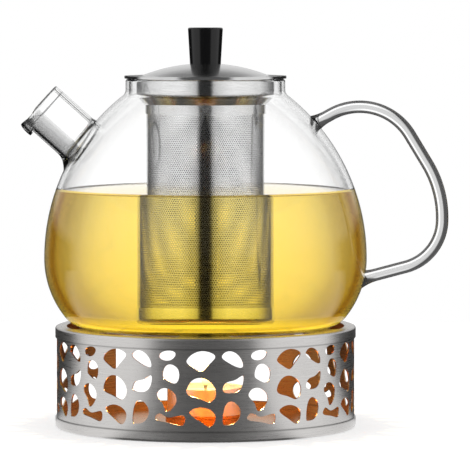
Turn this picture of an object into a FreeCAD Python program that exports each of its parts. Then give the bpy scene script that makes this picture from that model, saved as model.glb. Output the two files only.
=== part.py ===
import FreeCAD, Part
import math
import os

Vector = FreeCAD.Vector
ORIGIN = Vector(0, 0, 0)
UP = Vector(0, 0, 1)
SAME_POINT = 1e-6

# Warmer: three steel pressings slipped together
WARMER_RADIUS = 75.2
WARMER_HEIGHT = 50.2
PRESSED_SHEET = 0.6
PRESSED_EDGE = 1.0
BASE_SKIRT = 4.8
COVER_SKIRT = 5.4
WALL_SHEET = 0.8
SLIP_FIT = 0.1
HEAT_OPENING_RADIUS = 34.0
VENT_COUNT = 6
VENT_RADIUS = 66.5
VENT_WIDTH = 6.0
VENT_SWEEP = 34.0
CUT_MARGIN = 0.6

# Window in the back of the wall, turned a little away from straight back
WINDOW_TURN = 5.0
WINDOW_WIDTH = 83.0
WINDOW_HEIGHT = 35.0
WINDOW_CORNER = 3.0
WINDOW_BORDER = 4.0

# Pebble holes: one motif of ten, drawn for a field of this height and repeated at this pitch
PEBBLE_FIELD = 40.0
PEBBLE_MOTIF = 45.1
PEBBLE_TURN = -1.1
PEBBLE_PLUG = 4.0
PEBBLES = (
    ((-16.5, 16.8), ((-4.2, 0.2), (-2.6, 1.9), (3.9, 1.3), (1.0, -2.1))),
    ((-15.1, 8.1), ((-3.8, 0.4), (0.4, 4.6), (3.8, 2.2), (2.4, -4.5), (-2.2, -2.9))),
    ((-16.8, -4.4), ((-5.0, 3.2), (-1.4, 5.6), (3.3, 3.6), (4.7, -0.2), (-0.5, -5.7), (-2.6, -1.4))),
    ((-14.8, -13.7), ((-7.6, 1.4), (-6.0, 2.6), (-1.8, 0.9), (6.6, 1.3), (6.4, -2.2), (-0.8, -1.9))),
    ((0.0, 14.3), ((-7.0, 0.6), (-3.0, 4.2), (2.6, 4.8), (6.6, 2.6), (3.2, -2.0), (0.2, -4.8), (-4.0, -3.0))),
    ((0.0, 0.6), ((-7.0, 0.4), (0.8, 5.6), (4.0, 4.0), (6.9, -2.8), (4.6, -5.8), (-1.4, -4.2))),
    ((0.8, -12.7), ((-6.0, 3.2), (-3.2, 4.5), (2.0, 4.2), (6.0, 0.2), (3.6, -4.6), (-0.6, -2.6))),
    ((15.4, 15.2), ((-5.2, 2.2), (-2.6, 3.9), (3.8, 0.4), (4.9, -3.5), (-3.2, -1.0))),
    ((15.5, 2.9), ((-5.2, -1.8), (-3.2, 1.2), (1.4, 2.6), (4.6, 4.3), (4.6, -0.2), (-1.4, -4.1))),
    ((14.7, -11.5), ((-4.4, -2.2), (1.8, 5.6), (4.2, 2.0), (1.2, -4.3), (-3.4, -5.0))),
)

# Tealight and the stand it slides onto
CUP_RADIUS = 19.2
CUP_HEIGHT = 14.4
CUP_SHEET = 0.4
WAX_DEPTH = 11.0
WICK_RADIUS = 0.8
WICK_LENGTH = 17.0
TAB_RADIUS = 6.0
TAB_SHEET = 0.3
TAB_NECK_HEIGHT = 2.4
SLIDE_CLEARANCE = 0.3
STAND_LIP_HEIGHT = 1.2
STAND_FLANGE = 3.0

# Glass pot
BELLY_RADIUS = 80.6
BELLY_RISE = 33.8
POT_HEIGHT = 123.3
NECK_RADIUS = 39.8
SHOULDER_ARC = 103.5
NECK_ARC = 3.5
LOWER_ARC = 46.5
HEEL_ARC = 10.8
GLASS_WALL = 2.4
KICK_RADIUS = 40.0
KICK_RISE = 1.2

# Spout: a straight tube set on the shoulder, with a pulled pouring lip
SPOUT_SLOPE = 42.0
SPOUT_SEAT_ANGLE = 34.5
SPOUT_LENGTH = 27.5
SPOUT_RADIUS = 12.3
SPOUT_WALL = 1.8
SPOUT_LIP_LENGTH = 5.0
SPOUT_LIP_FLARE = 0.8
SPOUT_FOOT_FLARE = 1.2
SPOUT_FOOT_LENGTH = 4.0

# Handle: a bent glass rod between the shoulder and the belly
ROD_RADIUS = 3.15
ROD_FOOT_FLARE = 1.4
ROD_FOOT_LENGTH = 6.0
HANDLE_TOP_ANGLE = 41.2
HANDLE_FOOT_ANGLE = 13.9
HANDLE_REACH = 37.7
HANDLE_CROWN_OUT = 6.8
HANDLE_CROWN_DROP = 3.8
HANDLE_UPPER_CORNER = 34.7
HANDLE_LOWER_CORNER = 0.4
HANDLE_CROWN_BEND = 29.3
HANDLE_GRIP_BEND = 52.2
HANDLE_FOOT_BEND = 24.3

# Infuser: spun collar, perforated sleeve and pressed base
LIP_CLEARANCE = 0.3
COLLAR_SHEET = 0.6
COLLAR_FLANGE_OVERHANG = 0.6
COLLAR_RADIUS = 34.6
COLLAR_DEPTH = 9.0
COLLAR_TAPER = 4.4
SLEEVE_RADIUS = 29.6
SLEEVE_SHEET = 0.4
SLEEVE_BAND = 4.4
INFUSER_FLOOR_GAP = 4.6
INFUSER_BASE_BAND = 6.0
INFUSER_BASE_SHEET = 0.5
INFUSER_BASE_EDGE = 2.0

# Lid, with a screwed-on knob
LID_SHEET = 0.7
LID_DOME_RADIUS = 32.0
LID_DOME_RISE = 5.8
SKIRT_CLEARANCE = 0.4
SKIRT_SHEET = 0.6
SKIRT_DEPTH = 7.0
KNOB_BASE_RADIUS = 7.7
KNOB_TOP_RADIUS = 8.7
KNOB_HEIGHT = 18.2
KNOB_EDGE = 0.8
INSERT_RADIUS = 3.4
INSERT_LENGTH = 10.0
SCREW_RADIUS = 2.0
SCREW_GRIP = 8.0
SCREW_HEAD_RADIUS = 3.8
SCREW_HEAD_HEIGHT = 2.2
SCREW_SLOT_WIDTH = 1.0
SCREW_SLOT_DEPTH = 1.0
WASHER_RADIUS = 5.5
WASHER_SHEET = 0.8

# Heights and radii that follow from the sizes above
WALL_RADIUS = WARMER_RADIUS - PRESSED_SHEET - SLIP_FIT
WALL_TOP = WARMER_HEIGHT - PRESSED_SHEET
COVER_EDGE_HEIGHT = WARMER_HEIGHT - COVER_SKIRT
CANDLE_HEIGHT = BASE_SKIRT + SLIDE_CLEARANCE
POT_BASE = WARMER_HEIGHT
BELLY_HEIGHT = POT_BASE + BELLY_RISE
LIP_HEIGHT = POT_BASE + POT_HEIGHT
FLANGE_BOTTOM = LIP_HEIGHT + LIP_CLEARANCE
FLANGE_TOP = FLANGE_BOTTOM + COLLAR_SHEET
RIM_RADIUS = NECK_RADIUS + COLLAR_FLANGE_OVERHANG
INFUSER_BOTTOM = POT_BASE + KICK_RISE + GLASS_WALL + INFUSER_FLOOR_GAP
TAPER_TOP = FLANGE_BOTTOM - COLLAR_DEPTH
TAPER_BOTTOM = TAPER_TOP - COLLAR_TAPER
BAND_RADIUS = SLEEVE_RADIUS + COLLAR_SHEET
LID_RIM_TOP = FLANGE_TOP + LID_SHEET
LID_TOP = LID_RIM_TOP + LID_DOME_RISE


def polar(centre, radius, degrees):
    turn = math.radians(degrees)
    return centre + Vector(radius * math.cos(turn), 0, radius * math.sin(turn))


def at(radius, height):
    return Vector(radius, 0, height)


def arc(centre, radius, start, end):
    return tuple(polar(centre, radius, angle) for angle in (start, (start + end) / 2, end))


def joined(stations):
    """A closed wire through points and arcs, with straight lines between them."""
    edges = []
    spans = [station if isinstance(station, tuple) else (station, station) for station in stations]
    for span, following in zip(spans, spans[1:] + spans[:1]):
        if len(span) == 3:
            edges.append(Part.Arc(*span).toShape())
        if not span[-1].isEqual(following[0], SAME_POINT):
            edges.append(Part.LineSegment(span[-1], following[0]).toShape())
    return Part.Wire(edges)


def turned(shape, degrees):
    copy = shape.copy()
    copy.rotate(ORIGIN, UP, degrees)
    return copy


def spun(*stations):
    """The solid that a closed section sweeps out about the upright axis, with its seam at the back."""
    return turned(Part.Face(joined(stations)).revolve(ORIGIN, UP, 360), 90)


def tube(outer, wall, bottom, top):
    inner = outer - wall
    return spun(at(inner, bottom), at(outer, bottom), at(outer, top), at(inner, top))


def disc(radius, bottom, top):
    return spun(at(0, bottom), at(radius, bottom), at(radius, top), at(0, top))


def warmer_base_tray():
    edge = at(WARMER_RADIUS - PRESSED_EDGE, PRESSED_EDGE)
    inner = WARMER_RADIUS - PRESSED_SHEET
    return spun(
        at(0, 0),
        arc(edge, PRESSED_EDGE, -90, 0),
        at(WARMER_RADIUS, BASE_SKIRT),
        at(inner, BASE_SKIRT),
        at(inner, PRESSED_SHEET),
        at(0, PRESSED_SHEET),
    )


def pebble_cutter(up, outline, scale):
    """One pebble-shaped plug through the front of the wall."""
    start = -WALL_RADIUS - CUT_MARGIN
    middle = (BASE_SKIRT + COVER_EDGE_HEIGHT) / 2 + up * scale
    points = [Vector(du * scale, start, middle + dv * scale) for du, dv in outline]
    curve = Part.BSplineCurve()
    curve.interpolate(points, PeriodicFlag=True)
    face = Part.Face(Part.Wire([curve.toShape()]))
    return face.extrude(Vector(0, CUT_MARGIN + PEBBLE_PLUG, 0))


def pebble_cutters():
    """The motif repeated from the front round both sides of the wall, as far as the window."""
    scale = (COVER_EDGE_HEIGHT - BASE_SKIRT) / PEBBLE_FIELD
    step = math.degrees(PEBBLE_MOTIF * scale / WALL_RADIUS)
    repeats = math.ceil(180 / step)
    cutters = []
    for (across, up), outline in PEBBLES:
        cutter = pebble_cutter(up, outline, scale)
        clear = (WINDOW_WIDTH + cutter.BoundBox.XLength) / 2 + WINDOW_BORDER
        clear_angle = math.degrees(math.asin(clear / WALL_RADIUS))
        middle = PEBBLE_TURN + math.degrees(across * scale / WALL_RADIUS)
        for index in range(-repeats, repeats + 1):
            angle = middle + index * step
            if abs(angle - WINDOW_TURN) < 180 - clear_angle:
                cutters.append(turned(cutter, angle))
    return cutters


def warmer_wall():
    wall = tube(WALL_RADIUS, WALL_SHEET, PRESSED_SHEET, WALL_TOP)
    wall = wall.cut(pebble_cutters())
    window = Part.makeBox(WINDOW_WIDTH, WALL_RADIUS, WINDOW_HEIGHT, Vector(-WINDOW_WIDTH / 2, 0, BASE_SKIRT))
    through = [edge for edge in window.Edges if edge.BoundBox.YLength > WALL_SHEET]
    window = window.makeFillet(WINDOW_CORNER, through)
    return wall.cut(turned(window, WINDOW_TURN))


def vent_cutter():
    half = VENT_WIDTH / 2
    bottom = Vector(0, 0, WALL_TOP - CUT_MARGIN)
    reach = VENT_SWEEP / 2

    def ring_arc(radius, start, end):
        flat = arc(ORIGIN, radius, start, end)
        return tuple(Vector(point.x, point.z, 0) for point in flat)

    def end_arc(angle, way):
        turn = math.radians(angle)
        across = Vector(math.cos(turn), math.sin(turn), 0)
        along = Vector(-math.sin(turn), math.cos(turn), 0)
        middle = across * VENT_RADIUS
        return (middle + across * half * way, middle + along * half * way, middle - across * half * way)

    wire = joined((
        ring_arc(VENT_RADIUS + half, -reach, reach),
        end_arc(reach, 1),
        ring_arc(VENT_RADIUS - half, reach, -reach),
        end_arc(-reach, -1),
    ))
    cutter = Part.Face(wire).extrude(UP * (PRESSED_SHEET + 2 * CUT_MARGIN))
    cutter.translate(bottom)
    return cutter


def warmer_top_cover():
    edge = at(WARMER_RADIUS - PRESSED_EDGE, WARMER_HEIGHT - PRESSED_EDGE)
    inner = WARMER_RADIUS - PRESSED_SHEET
    cover = spun(
        at(HEAT_OPENING_RADIUS, WALL_TOP),
        at(inner, WALL_TOP),
        at(inner, COVER_EDGE_HEIGHT),
        at(WARMER_RADIUS, COVER_EDGE_HEIGHT),
        arc(edge, PRESSED_EDGE, 0, 90),
        at(HEAT_OPENING_RADIUS, WARMER_HEIGHT),
    )
    vent = vent_cutter()
    return cover.cut([turned(vent, index * 360 / VENT_COUNT) for index in range(VENT_COUNT)])


def candle_stand():
    """A pressed step with a low lip round its front half, where the tealight stops."""
    lip_inner = CUP_RADIUS + SLIDE_CLEARANCE
    lip_outer = lip_inner + PRESSED_SHEET
    foot = lip_outer + STAND_FLANGE
    floor = PRESSED_SHEET
    lip_top = CANDLE_HEIGHT + STAND_LIP_HEIGHT
    step = spun(
        at(lip_inner, floor),
        at(foot, floor),
        at(foot, floor + PRESSED_SHEET),
        at(lip_outer, floor + PRESSED_SHEET),
        at(lip_outer, lip_top),
        at(lip_inner, lip_top),
        at(lip_inner, CANDLE_HEIGHT),
        at(0, CANDLE_HEIGHT),
        at(0, CANDLE_HEIGHT - PRESSED_SHEET),
        at(lip_inner, CANDLE_HEIGHT - PRESSED_SHEET),
    )
    behind = Part.makeBox(2 * foot, foot, STAND_LIP_HEIGHT, Vector(-foot, 0, CANDLE_HEIGHT))
    return step.cut(turned(behind, WINDOW_TURN))


def tealight_cup():
    bottom = CANDLE_HEIGHT
    inner = CUP_RADIUS - CUP_SHEET
    return spun(
        at(0, bottom),
        at(CUP_RADIUS, bottom),
        at(CUP_RADIUS, bottom + CUP_HEIGHT),
        at(inner, bottom + CUP_HEIGHT),
        at(inner, bottom + CUP_SHEET),
        at(0, bottom + CUP_SHEET),
    )


def wick_tab():
    bottom = CANDLE_HEIGHT + CUP_SHEET
    neck = WICK_RADIUS + TAB_SHEET
    return spun(
        at(WICK_RADIUS, bottom),
        at(TAB_RADIUS, bottom),
        at(TAB_RADIUS, bottom + TAB_SHEET),
        at(neck, bottom + TAB_SHEET),
        at(neck, bottom + TAB_NECK_HEIGHT),
        at(WICK_RADIUS, bottom + TAB_NECK_HEIGHT),
    )


def tealight_wick():
    bottom = CANDLE_HEIGHT + CUP_SHEET
    return disc(WICK_RADIUS, bottom, bottom + WICK_LENGTH)


def tealight_wax():
    bottom = CANDLE_HEIGHT + CUP_SHEET
    wax = disc(CUP_RADIUS - CUP_SHEET, bottom, bottom + WAX_DEPTH)
    return wax.cut([tealight_wick(), wick_tab()])


SHOULDER_CENTRE = at(BELLY_RADIUS - SHOULDER_ARC, BELLY_HEIGHT)
LOWER_CENTRE = at(BELLY_RADIUS - LOWER_ARC, BELLY_HEIGHT)
HEEL_ANGLE = math.degrees(math.asin((BELLY_RISE - HEEL_ARC) / (LOWER_ARC - HEEL_ARC)))
HEEL_CENTRE = polar(LOWER_CENTRE, LOWER_ARC - HEEL_ARC, -HEEL_ANGLE)
NECK_CENTRE_RADIUS = NECK_RADIUS + NECK_ARC
NECK_ANGLE = math.degrees(math.acos((NECK_CENTRE_RADIUS - SHOULDER_CENTRE.x) / (SHOULDER_ARC + NECK_ARC)))
NECK_CENTRE = polar(SHOULDER_CENTRE, SHOULDER_ARC + NECK_ARC, NECK_ANGLE)


def lower_profile(depth):
    """The pot's side from its heel to its belly, at a depth below the outer face."""
    return [
        arc(HEEL_CENTRE, HEEL_ARC - depth, -90, -HEEL_ANGLE),
        arc(LOWER_CENTRE, LOWER_ARC - depth, -HEEL_ANGLE, 0),
    ]


def upper_profile(depth):
    """The pot's side from its belly to its neck, at a depth below the outer face."""
    return [
        arc(SHOULDER_CENTRE, SHOULDER_ARC - depth, 0, NECK_ANGLE),
        arc(NECK_CENTRE, NECK_ARC + depth, 180 + NECK_ANGLE, 180),
    ]


def kick_arc(depth):
    """The shallow rise under the middle of the pot, from the axis outwards."""
    radius = (KICK_RADIUS ** 2 + KICK_RISE ** 2) / (2 * KICK_RISE)
    centre = at(0, POT_BASE + KICK_RISE - radius)
    reach = math.degrees(math.acos((radius + depth - KICK_RISE) / (radius + depth)))
    return arc(centre, radius + depth, 90, 90 - reach)


def pot_outer_form():
    side = lower_profile(0) + upper_profile(0)
    return spun(at(0, POT_BASE), *side, at(NECK_RADIUS, LIP_HEIGHT), at(0, LIP_HEIGHT))


def spout_frame():
    """The mouth's centre, the way the spout points, and the way down across it."""
    slope = math.radians(SPOUT_SLOPE)
    outward = Vector(-math.cos(slope), 0, math.sin(slope))
    seat = polar(SHOULDER_CENTRE, SHOULDER_ARC, SPOUT_SEAT_ANGLE)
    seat.x = -seat.x
    down = Vector(-outward.z, 0, outward.x)
    return seat + outward * SPOUT_LENGTH, outward, down


def spout_form(shrink):
    """The spout's outer form, or with a shrink the bore inside it, run on into the pot."""
    mouth, outward, down = spout_frame()
    radius = SPOUT_RADIUS - shrink
    lip_start = mouth - outward * SPOUT_LIP_LENGTH
    run_in = SPOUT_LENGTH - SPOUT_LIP_LENGTH + SPOUT_RADIUS
    barrel = Part.makeCylinder(radius, run_in, lip_start - outward * run_in, outward)
    root = Part.Wire([Part.Circle(lip_start, outward, radius).toShape()])
    lip_centre = mouth + down * SPOUT_LIP_FLARE
    lip = Part.Wire([Part.Circle(lip_centre, outward, radius + SPOUT_LIP_FLARE).toShape()])
    return barrel.fuse(Part.makeLoft([root, lip], True, True))


def spout_foot():
    mouth, outward, _ = spout_frame()
    length = SPOUT_FOOT_LENGTH + SPOUT_RADIUS
    slope = SPOUT_FOOT_FLARE / SPOUT_FOOT_LENGTH
    start = mouth - outward * (SPOUT_LENGTH + SPOUT_RADIUS)
    return Part.makeCone(SPOUT_RADIUS + slope * length, SPOUT_RADIUS, length, start, outward)


def pot_spout():
    tube_form = spout_form(0).fuse(spout_foot())
    return tube_form.cut([spout_form(SPOUT_WALL), pot_outer_form()]).removeSplitter()


def turned_back(spans):
    """The same spans, run the other way."""
    return [tuple(reversed(span)) for span in reversed(spans)]


def pot_bowl():
    """The glass from its kicked-up floor to the belly line."""
    inner = turned_back([kick_arc(GLASS_WALL)] + lower_profile(GLASS_WALL))
    return spun(kick_arc(0), *lower_profile(0), *inner)


def pot_shoulder():
    """The glass from the belly line to its fire-polished lip, with the hole under the spout."""
    lip_arc = GLASS_WALL / 2
    lip = arc(at(NECK_RADIUS - lip_arc, LIP_HEIGHT - lip_arc), lip_arc, 0, 180)
    wall = spun(*upper_profile(0), lip, *turned_back(upper_profile(GLASS_WALL)))
    return wall.cut(spout_form(SPOUT_WALL))


def rounded_path(corners, bends):
    """Straight runs through the corners, joined by tangent arcs of the given radii."""
    edges = []
    start = corners[0]
    for before, corner, after, bend in zip(corners, corners[1:], corners[2:], bends):
        back = (before - corner).normalize()
        ahead = (after - corner).normalize()
        half = back.getAngle(ahead) / 2
        inward = (back + ahead).normalize()
        leave = bend / math.tan(half)
        middle = corner + inward * (bend / math.sin(half) - bend)
        edges.append(Part.LineSegment(start, corner + back * leave).toShape())
        edges.append(Part.Arc(corner + back * leave, middle, corner + ahead * leave).toShape())
        start = corner + ahead * leave
    edges.append(Part.LineSegment(start, corners[-1]).toShape())
    return Part.Wire(edges)


def rod_foot(end, ahead):
    length = ROD_FOOT_LENGTH + GLASS_WALL
    return Part.makeCone(ROD_RADIUS + ROD_FOOT_FLARE, ROD_RADIUS, length, end, ahead - end)


def pot_handle():
    grip = BELLY_RADIUS + HANDLE_REACH
    corners = [
        polar(SHOULDER_CENTRE, SHOULDER_ARC - GLASS_WALL, HANDLE_TOP_ANGLE),
        at(BELLY_RADIUS + HANDLE_CROWN_OUT, LIP_HEIGHT - HANDLE_CROWN_DROP),
        at(grip, BELLY_HEIGHT + HANDLE_UPPER_CORNER),
        at(grip, BELLY_HEIGHT + HANDLE_LOWER_CORNER),
        polar(LOWER_CENTRE, LOWER_ARC - GLASS_WALL, -HANDLE_FOOT_ANGLE),
    ]
    path = rounded_path(corners, (HANDLE_CROWN_BEND, HANDLE_GRIP_BEND, HANDLE_FOOT_BEND))
    section = Part.Wire([Part.Circle(corners[0], corners[1] - corners[0], ROD_RADIUS).toShape()])
    rod = path.makePipeShell([section], True, False)
    feet = [rod_foot(corners[0], corners[1]), rod_foot(corners[-1], corners[-2])]
    return rod.fuse(feet).cut(pot_outer_form())


def infuser_collar():
    inner = COLLAR_RADIUS - COLLAR_SHEET
    return spun(
        at(COLLAR_RADIUS, FLANGE_BOTTOM),
        at(RIM_RADIUS, FLANGE_BOTTOM),
        at(RIM_RADIUS, FLANGE_TOP),
        at(inner, FLANGE_TOP),
        at(inner, TAPER_TOP),
        at(SLEEVE_RADIUS, TAPER_BOTTOM),
        at(SLEEVE_RADIUS, TAPER_BOTTOM - SLEEVE_BAND),
        at(BAND_RADIUS, TAPER_BOTTOM - SLEEVE_BAND),
        at(BAND_RADIUS, TAPER_BOTTOM),
        at(COLLAR_RADIUS, TAPER_TOP),
    )


def infuser_sleeve():
    return tube(SLEEVE_RADIUS, SLEEVE_SHEET, INFUSER_BOTTOM + INFUSER_BASE_EDGE, TAPER_BOTTOM)


def infuser_base():
    outer = SLEEVE_RADIUS + INFUSER_BASE_SHEET
    edge = at(outer - INFUSER_BASE_EDGE, INFUSER_BOTTOM + INFUSER_BASE_EDGE)
    rim = INFUSER_BOTTOM + INFUSER_BASE_BAND
    inner_edge = INFUSER_BASE_EDGE - INFUSER_BASE_SHEET
    return spun(
        at(0, INFUSER_BOTTOM),
        arc(edge, INFUSER_BASE_EDGE, -90, 0),
        at(outer, rim),
        at(SLEEVE_RADIUS, rim),
        arc(edge, inner_edge, 0, -90),
        at(0, INFUSER_BOTTOM + INFUSER_BASE_SHEET),
    )


def lid_cover():
    land = KNOB_BASE_RADIUS
    rise = LID_DOME_RISE
    crown = (LID_DOME_RADIUS ** 2 - land ** 2 + rise ** 2) / (2 * rise) - rise
    sphere = math.hypot(LID_DOME_RADIUS, crown)
    centre = at(0, LID_RIM_TOP - crown)
    rim_angle = math.degrees(math.atan2(crown, LID_DOME_RADIUS))
    land_angle = math.degrees(math.acos(land / sphere))
    return spun(
        at(SCREW_RADIUS, LID_TOP),
        arc(centre, sphere, land_angle, rim_angle),
        at(RIM_RADIUS, LID_RIM_TOP),
        at(RIM_RADIUS, FLANGE_TOP),
        arc(centre - UP * LID_SHEET, sphere, rim_angle, land_angle),
        at(SCREW_RADIUS, LID_TOP - LID_SHEET),
    )


def lid_skirt():
    outer = COLLAR_RADIUS - COLLAR_SHEET - SKIRT_CLEARANCE
    return tube(outer, SKIRT_SHEET, FLANGE_TOP - SKIRT_DEPTH, FLANGE_TOP)


def lid_knob():
    top = LID_TOP + KNOB_HEIGHT
    edge = at(KNOB_TOP_RADIUS - KNOB_EDGE, top - KNOB_EDGE)
    return spun(
        at(INSERT_RADIUS, LID_TOP),
        at(KNOB_BASE_RADIUS, LID_TOP),
        arc(edge, KNOB_EDGE, 0, 90),
        at(0, top),
        at(0, LID_TOP + INSERT_LENGTH),
        at(INSERT_RADIUS, LID_TOP + INSERT_LENGTH),
    )


def knob_insert():
    return tube(INSERT_RADIUS, INSERT_RADIUS - SCREW_RADIUS, LID_TOP, LID_TOP + INSERT_LENGTH)


def knob_washer():
    top = LID_TOP - LID_SHEET
    return tube(WASHER_RADIUS, WASHER_RADIUS - SCREW_RADIUS, top - WASHER_SHEET, top)


def knob_screw():
    seat = LID_TOP - LID_SHEET - WASHER_SHEET
    head = disc(SCREW_HEAD_RADIUS, seat - SCREW_HEAD_HEIGHT, seat)
    shank = disc(SCREW_RADIUS, seat, LID_TOP + SCREW_GRIP)
    half = SCREW_SLOT_WIDTH / 2
    corner = Vector(-SCREW_HEAD_RADIUS, -half, seat - SCREW_HEAD_HEIGHT)
    slot = Part.makeBox(2 * SCREW_HEAD_RADIUS, SCREW_SLOT_WIDTH, SCREW_SLOT_DEPTH, corner)
    return head.fuse(shank).cut(slot).removeSplitter()


PIECES = (
    warmer_base_tray,
    warmer_wall,
    warmer_top_cover,
    candle_stand,
    tealight_cup,
    wick_tab,
    tealight_wick,
    tealight_wax,
    pot_bowl,
    pot_shoulder,
    pot_spout,
    pot_handle,
    infuser_collar,
    infuser_sleeve,
    infuser_base,
    lid_cover,
    lid_skirt,
    lid_knob,
    knob_insert,
    knob_washer,
    knob_screw,
)

os.makedirs("parts", exist_ok=True)
for piece in PIECES:
    shape = piece()
    shape.exportStep(f"parts/{piece.__name__}.step")
    print(f"{piece.__name__}: {len(shape.Solids)} solid, {shape.Volume:.1f} mm3, valid {shape.isValid()}")
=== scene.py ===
import math

import bmesh
import bpy
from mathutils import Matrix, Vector


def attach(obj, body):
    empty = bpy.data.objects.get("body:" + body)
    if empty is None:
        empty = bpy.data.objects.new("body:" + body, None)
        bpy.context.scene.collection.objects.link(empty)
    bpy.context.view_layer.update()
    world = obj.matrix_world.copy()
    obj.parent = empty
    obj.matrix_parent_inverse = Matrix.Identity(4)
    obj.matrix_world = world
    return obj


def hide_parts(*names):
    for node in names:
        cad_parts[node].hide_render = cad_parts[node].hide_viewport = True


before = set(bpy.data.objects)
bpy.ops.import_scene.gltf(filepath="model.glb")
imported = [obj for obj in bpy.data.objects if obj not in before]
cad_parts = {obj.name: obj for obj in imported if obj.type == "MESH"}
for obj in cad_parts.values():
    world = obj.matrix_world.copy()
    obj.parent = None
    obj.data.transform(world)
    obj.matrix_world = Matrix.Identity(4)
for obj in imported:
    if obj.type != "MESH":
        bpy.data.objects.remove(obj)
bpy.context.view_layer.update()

scene = bpy.context.scene
scene.view_settings.view_transform = "Standard"
MM = 0.001


# The studio: a white table top in a white room, which the camera sees white all round. Steel and glass mirror
# a soft light on each side, dark flags low behind the pot and a dark gap where the camera stands.
CAMERA_PLACE = (0.01475, -1.87, 0.212)
CAMERA_AIM = (0.01475, 0, 0.0955)
CAMERA_LENS = 287
CAMERA_SENSOR = 36
CAMERA_REACH = 50
TABLE_RADIUS = 620
TABLE_SIDES = 96
TABLE_DROP = 0.2
TABLE_WHITE = (0.86, 0.86, 0.86, 1)
TABLE_FILL = 0.18
WHITE = (1, 1, 1, 1)
ROOM_WHITE = (1.2, 1.2, 1.2, 1)
UPPER_RISE = (0.03, 0.09)
OVERHEAD_RISE = (0.4, 0.62)
# What is mirrored, by the turn from straight behind the pot, in degrees to either side: low in the room and
# in the table, higher up, overhead, and from inside the glass
LOW_LEVELS = ((0, 0.12), (30, 0.02), (66, 0.02), (78, 1.0), (137, 1.0), (147, 0.12), (180, 0.1))
UPPER_LEVELS = ((0, 0.85), (9, 0.7), (13, 0.6), (60, 0.6), (80, 1.1), (120, 1.2), (145, 0.8), (165, 0.2))
OVERHEAD_LEVELS = ((0, 0.28), (15, 0.28), (25, 0.9), (110, 1.0), (140, 0.15))
INNER_LEVELS = ((0, 1.1), (24, 1.1), (30, 0.06), (36, 0.06), (50, 0.2), (78, 1.0), (110, 1.25), (140, 1.3),
                (158, 1.0), (166, 0.75), (170, 0.02))


def set_inputs(tree, node, inputs):
    """Gives each named socket a value, or a link from another node's socket."""
    for key, value in inputs.items():
        if isinstance(value, bpy.types.NodeSocket):
            tree.links.new(value, node.inputs[key])
        else:
            node.inputs[key].default_value = value


def add_node(tree, kind, inputs=None, **settings):
    """A new node with its settings and inputs."""
    made = tree.nodes.new(kind)
    for name, value in settings.items():
        setattr(made, name, value)
    set_inputs(tree, made, inputs or {})
    return made


def math_node(tree, operation, *values):
    """The result of a sum or other step on numbers."""
    return add_node(tree, "ShaderNodeMath", dict(enumerate(values)), operation=operation).outputs[0]


def parts_of(tree, vector):
    """A vector's X, Y and Z."""
    return add_node(tree, "ShaderNodeSeparateXYZ", {0: vector}).outputs


def ranged(tree, value, start, full, low=0, high=1):
    """A number that goes from low to high as the value goes from start to full."""
    return add_node(tree, "ShaderNodeMapRange", {0: value, 1: start, 2: full, 3: low, 4: high}).outputs[0]


def mixed(tree, share, first, second, way="MIX"):
    """The first colour, or the second as the share rises to 1; with MULTIPLY, the product of both."""
    return add_node(tree, "ShaderNodeMix", {"Factor": share, 6: first, 7: second},
                    data_type="RGBA", blend_type=way).outputs[2]


def ramp_of(tree, value, stops):
    """A colour that follows a value through (value, colour) stops."""
    ramp = add_node(tree, "ShaderNodeValToRGB", {0: value})
    elements = ramp.color_ramp.elements
    elements.remove(elements[-1])
    elements[0].position, elements[0].color = stops[0]
    for place, colour in stops[1:]:
        elements.new(place).color = colour
    return ramp.outputs[0]


def light_round(tree, toward, levels):
    """The level of light in a direction, by its turn from straight behind the pot to either side."""
    parts = parts_of(tree, toward)
    turn = math_node(tree, "ABSOLUTE", math_node(tree, "ARCTAN2", parts["X"], parts["Y"]))
    half_turns = math_node(tree, "DIVIDE", turn, math.pi)
    return ramp_of(tree, half_turns, [(degrees / 180, (level, level, level, 1)) for degrees, level in levels])


def mirrored_ray(tree, path):
    """1 for a ray that steel or glass has mirrored, and 0 for any other."""
    return math_node(tree, "GREATER_THAN", path["Glossy Depth"], 0.5)


def object_from(name, vertices, faces):
    """A mesh object from points in millimetres, with smooth faces."""
    mesh = bpy.data.meshes.new(name)
    mesh.from_pydata([Vector(vertex) * MM for vertex in vertices], [], faces)
    mesh.polygons.foreach_set("use_smooth", [True] * len(mesh.polygons))
    made = bpy.data.objects.new(name, mesh)
    scene.collection.objects.link(made)
    return made


def ring(radius, height, sides):
    """Points once round the upright axis, from the front towards the handle."""
    angles = [side * math.tau / sides for side in range(sides)]
    return [(radius * math.sin(angle), -radius * math.cos(angle), height) for angle in angles]


camera_data = bpy.data.cameras.new("camera")
camera_data.sensor_width = CAMERA_SENSOR
camera_data.lens = CAMERA_LENS
camera_data.clip_end = CAMERA_REACH
camera = bpy.data.objects.new("camera", camera_data)
camera.location = CAMERA_PLACE
camera.rotation_euler = (Vector(CAMERA_AIM) - Vector(CAMERA_PLACE)).to_track_quat("-Z", "Y").to_euler()
scene.collection.objects.link(camera)
scene.camera = camera

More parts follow.
